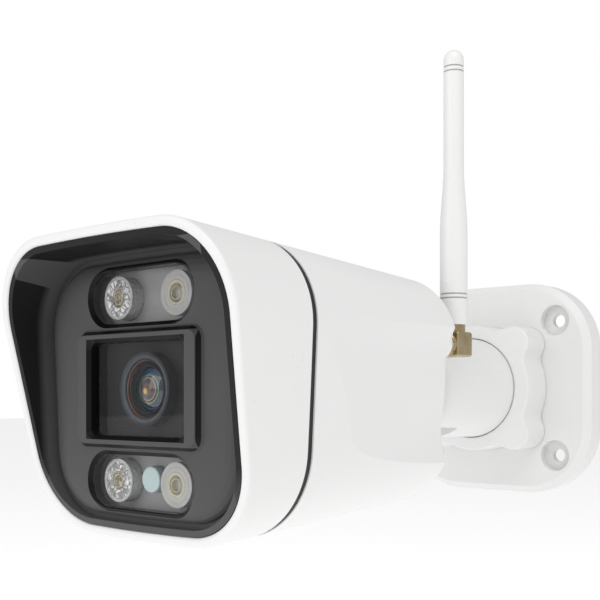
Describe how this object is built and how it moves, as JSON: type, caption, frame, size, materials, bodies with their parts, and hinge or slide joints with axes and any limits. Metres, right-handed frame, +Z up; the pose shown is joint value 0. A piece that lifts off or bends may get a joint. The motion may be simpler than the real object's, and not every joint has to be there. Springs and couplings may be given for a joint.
{
  "type": "security camera",
  "caption": "Outdoor bullet camera with a hooded front, lens window, long light windows and a rod antenna, on a swivelling arm with a wall plate.",
  "frame": {"origin": "centre of the wall plate's back face, where it meets the wall", "axes": "+Y into the wall, -Y the way the camera looks, +Z up, +X to the right of someone facing the camera's front"},
  "size_m": [0.0838, 0.1916, 0.1372],
  "materials": {
    "shell_white": "fine matt",
    "bracket_white": "fine matt",
    "antenna_white": "satin",
    "band_grey": "matt",
    "panel_dark": "satin",
    "seal_dark": "matt",
    "clear_cover": "polished",
    "light_lens": "polished",
    "pipe_teal": "frosted",
    "holder_grey": "satin",
    "mask_black": "matt",
    "lens_black": "anodised",
    "optical_glass": "coated",
    "filter_glass": "coated",
    "board_green": "solder mask",
    "emitter_yellow": "phosphor",
    "chip_black": "moulded",
    "connector_cream": "moulded",
    "pad_grey": "soft",
    "washer_grey": "matt",
    "brass": "dull turned",
    "steel": "plated",
    "sink_metal": "extruded"
  },
  "bodies": {
    "base": {"wall_plate": "bracket_white", "friction_washer": "washer_grey"},
    "lock_ring": {"lock_ring": "bracket_white"},
    "head": {"swivel_head": "bracket_white", "tilt_screw": "steel", "tilt_insert": "brass"},
    "arm": {"tilt_arm": "bracket_white", "arm_seal": "washer_grey", "arm_nut": "steel"},
    "filter": {"filter_shuttle": "mask_black", "filter_panes": "filter_glass"},
    "antenna": {"antenna_elbow": "brass", "antenna_neck": "brass", "antenna_sleeve": "antenna_white", "antenna_bands": "band_grey", "antenna_radiator": "brass"},
    "camera": {"rear_housing": "shell_white", "front_hood": "shell_white", "body_seal": "seal_dark", "housing_screws": "steel", "front_panel": "panel_dark", "panel_gasket": "seal_dark", "lens_window": "clear_cover", "upper_light_window": "clear_cover", "lower_light_window": "clear_cover", "upper_light_board": "board_green", "lower_light_board": "board_green", "upper_light_holder": "holder_grey", "lower_light_holder": "holder_grey", "light_emitters": "emitter_yellow", "light_lenses": "light_lens", "light_pipe": "pipe_teal", "light_sensor": "chip_black", "mic_boot": "washer_grey", "microphone": "steel", "lens_mask": "mask_black", "lens_barrel": "lens_black", "front_element": "optical_glass", "rear_elements": "optical_glass", "lens_nut": "lens_black", "lens_holder": "mask_black", "filter_coil": "chip_black", "image_sensor": "chip_black", "sensor_board": "board_green", "main_board": "board_green", "standoffs": "brass", "board_screws": "steel", "heat_sink": "sink_metal", "processor": "chip_black", "thermal_pad": "pad_grey", "radio_module": "steel", "board_connectors": "connector_cream", "cable_gland": "washer_grey", "antenna_jack": "brass", "jack_nut": "brass", "antenna_coupling": "brass"}
  },
  "joints": [
    {"name": "lock_ring_turn", "type": "hinge", "parent": "base", "child": "lock_ring", "pos_m": [0, -0.0175, 0], "axis": [0, -1, 0], "range_deg": [0, 180]},
    {"name": "head_swivel", "type": "hinge", "parent": "base", "child": "head", "pos_m": [0, -0.013, 0], "axis": [0, -1, 0], "range_deg": [-180, 180]},
    {"name": "arm_tilt", "type": "hinge", "parent": "head", "child": "arm", "pos_m": [0, -0.0555, 0], "axis": [1, 0, 0], "range_deg": [0, 80]},
    {"name": "camera_roll", "type": "hinge", "parent": "arm", "child": "camera", "pos_m": [0, -0.091, 0], "axis": [0, -1, 0], "range_deg": [-180, 180]},
    {"name": "antenna_swing", "type": "hinge", "parent": "camera", "child": "antenna", "pos_m": [0.0274, -0.0804, 0.0123], "axis": [0, 1, 0], "range_deg": [-60, 180]},
    {"name": "filter_slide", "type": "slide", "parent": "camera", "child": "filter", "axis": [1, 0, 0], "range_m": [0, 0.0066]}
  ]
}
